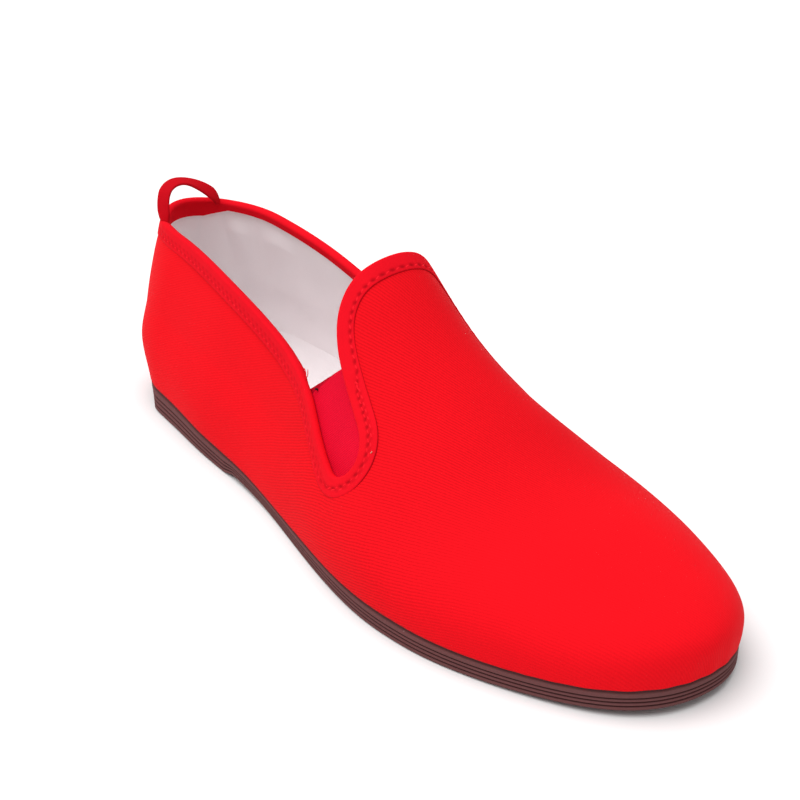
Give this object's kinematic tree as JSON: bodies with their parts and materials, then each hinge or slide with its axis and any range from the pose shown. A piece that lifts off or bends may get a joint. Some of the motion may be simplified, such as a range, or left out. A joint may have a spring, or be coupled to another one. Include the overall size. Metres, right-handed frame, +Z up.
{
  "type": "canvas slip-on shoe",
  "caption": "Right canvas slip-on shoe: hollow low-cut upper with taped collar, elastic side gores, heel pull loop, insole and ribbed rubber sole, standing empty.",
  "frame": {"origin": "middle of the shoe's box in plan, on the floor under the sole", "axes": "+X along the foot towards the toe, +Z up, -Y the outer side of this right shoe"},
  "size_m": [0.2718, 0.0948, 0.085],
  "materials": {
    "sole_rubber": "matt moulded brown rubber with a ribbed edge",
    "lining": "white plain-woven cotton lining",
    "canvas": "bright red cotton twill",
    "elastic": "crimson elastic webbing with fine cross ribs",
    "tape": "deep red woven cotton tape, folded and sewn"
  },
  "bodies": {
    "root": {"outsole": "sole_rubber", "insole": "lining", "upper": "canvas", "gore_lateral": "elastic", "gore_medial": "elastic", "collar_binding": "tape", "pull_loop": "tape"}
  },
  "joints": []
}
